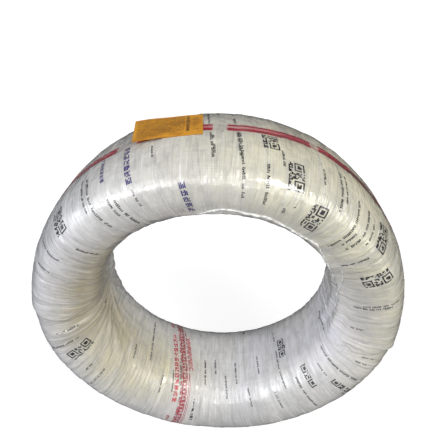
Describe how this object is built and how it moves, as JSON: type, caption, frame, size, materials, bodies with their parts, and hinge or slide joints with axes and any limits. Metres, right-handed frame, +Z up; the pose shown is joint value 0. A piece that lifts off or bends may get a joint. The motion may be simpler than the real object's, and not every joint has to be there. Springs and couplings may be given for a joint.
{
  "type": "coil of wire rod",
  "caption": "Coil of steel wire standing on its rim, wrapped in white printed packing bands under glossy stretch film, with red-striped tapes and an orange paper tag",
  "frame": {"origin": "on the floor under the middle of the coil, which stands on its rim", "axes": "+Y along the axis of the coil, away from the viewer; +X to the right; +Z up"},
  "size_m": [0.8999, 0.305, 0.9003],
  "materials": {
    "wire": "drawn steel wire, light oil",
    "wrapping": "white woven packing band with black print",
    "film": "clear stretch film, crinkled and glossy",
    "red_tape": "red striped packing tape",
    "tag_paper": "orange paper with dark brown print"
  },
  "bodies": {
    "root": {"wire_coil": "wire", "printed_wrap": "wrapping", "hoop_tape": "red_tape", "cross_tape": "red_tape", "stretch_film": "film", "paper_tag": "tag_paper"}
  },
  "joints": []
}
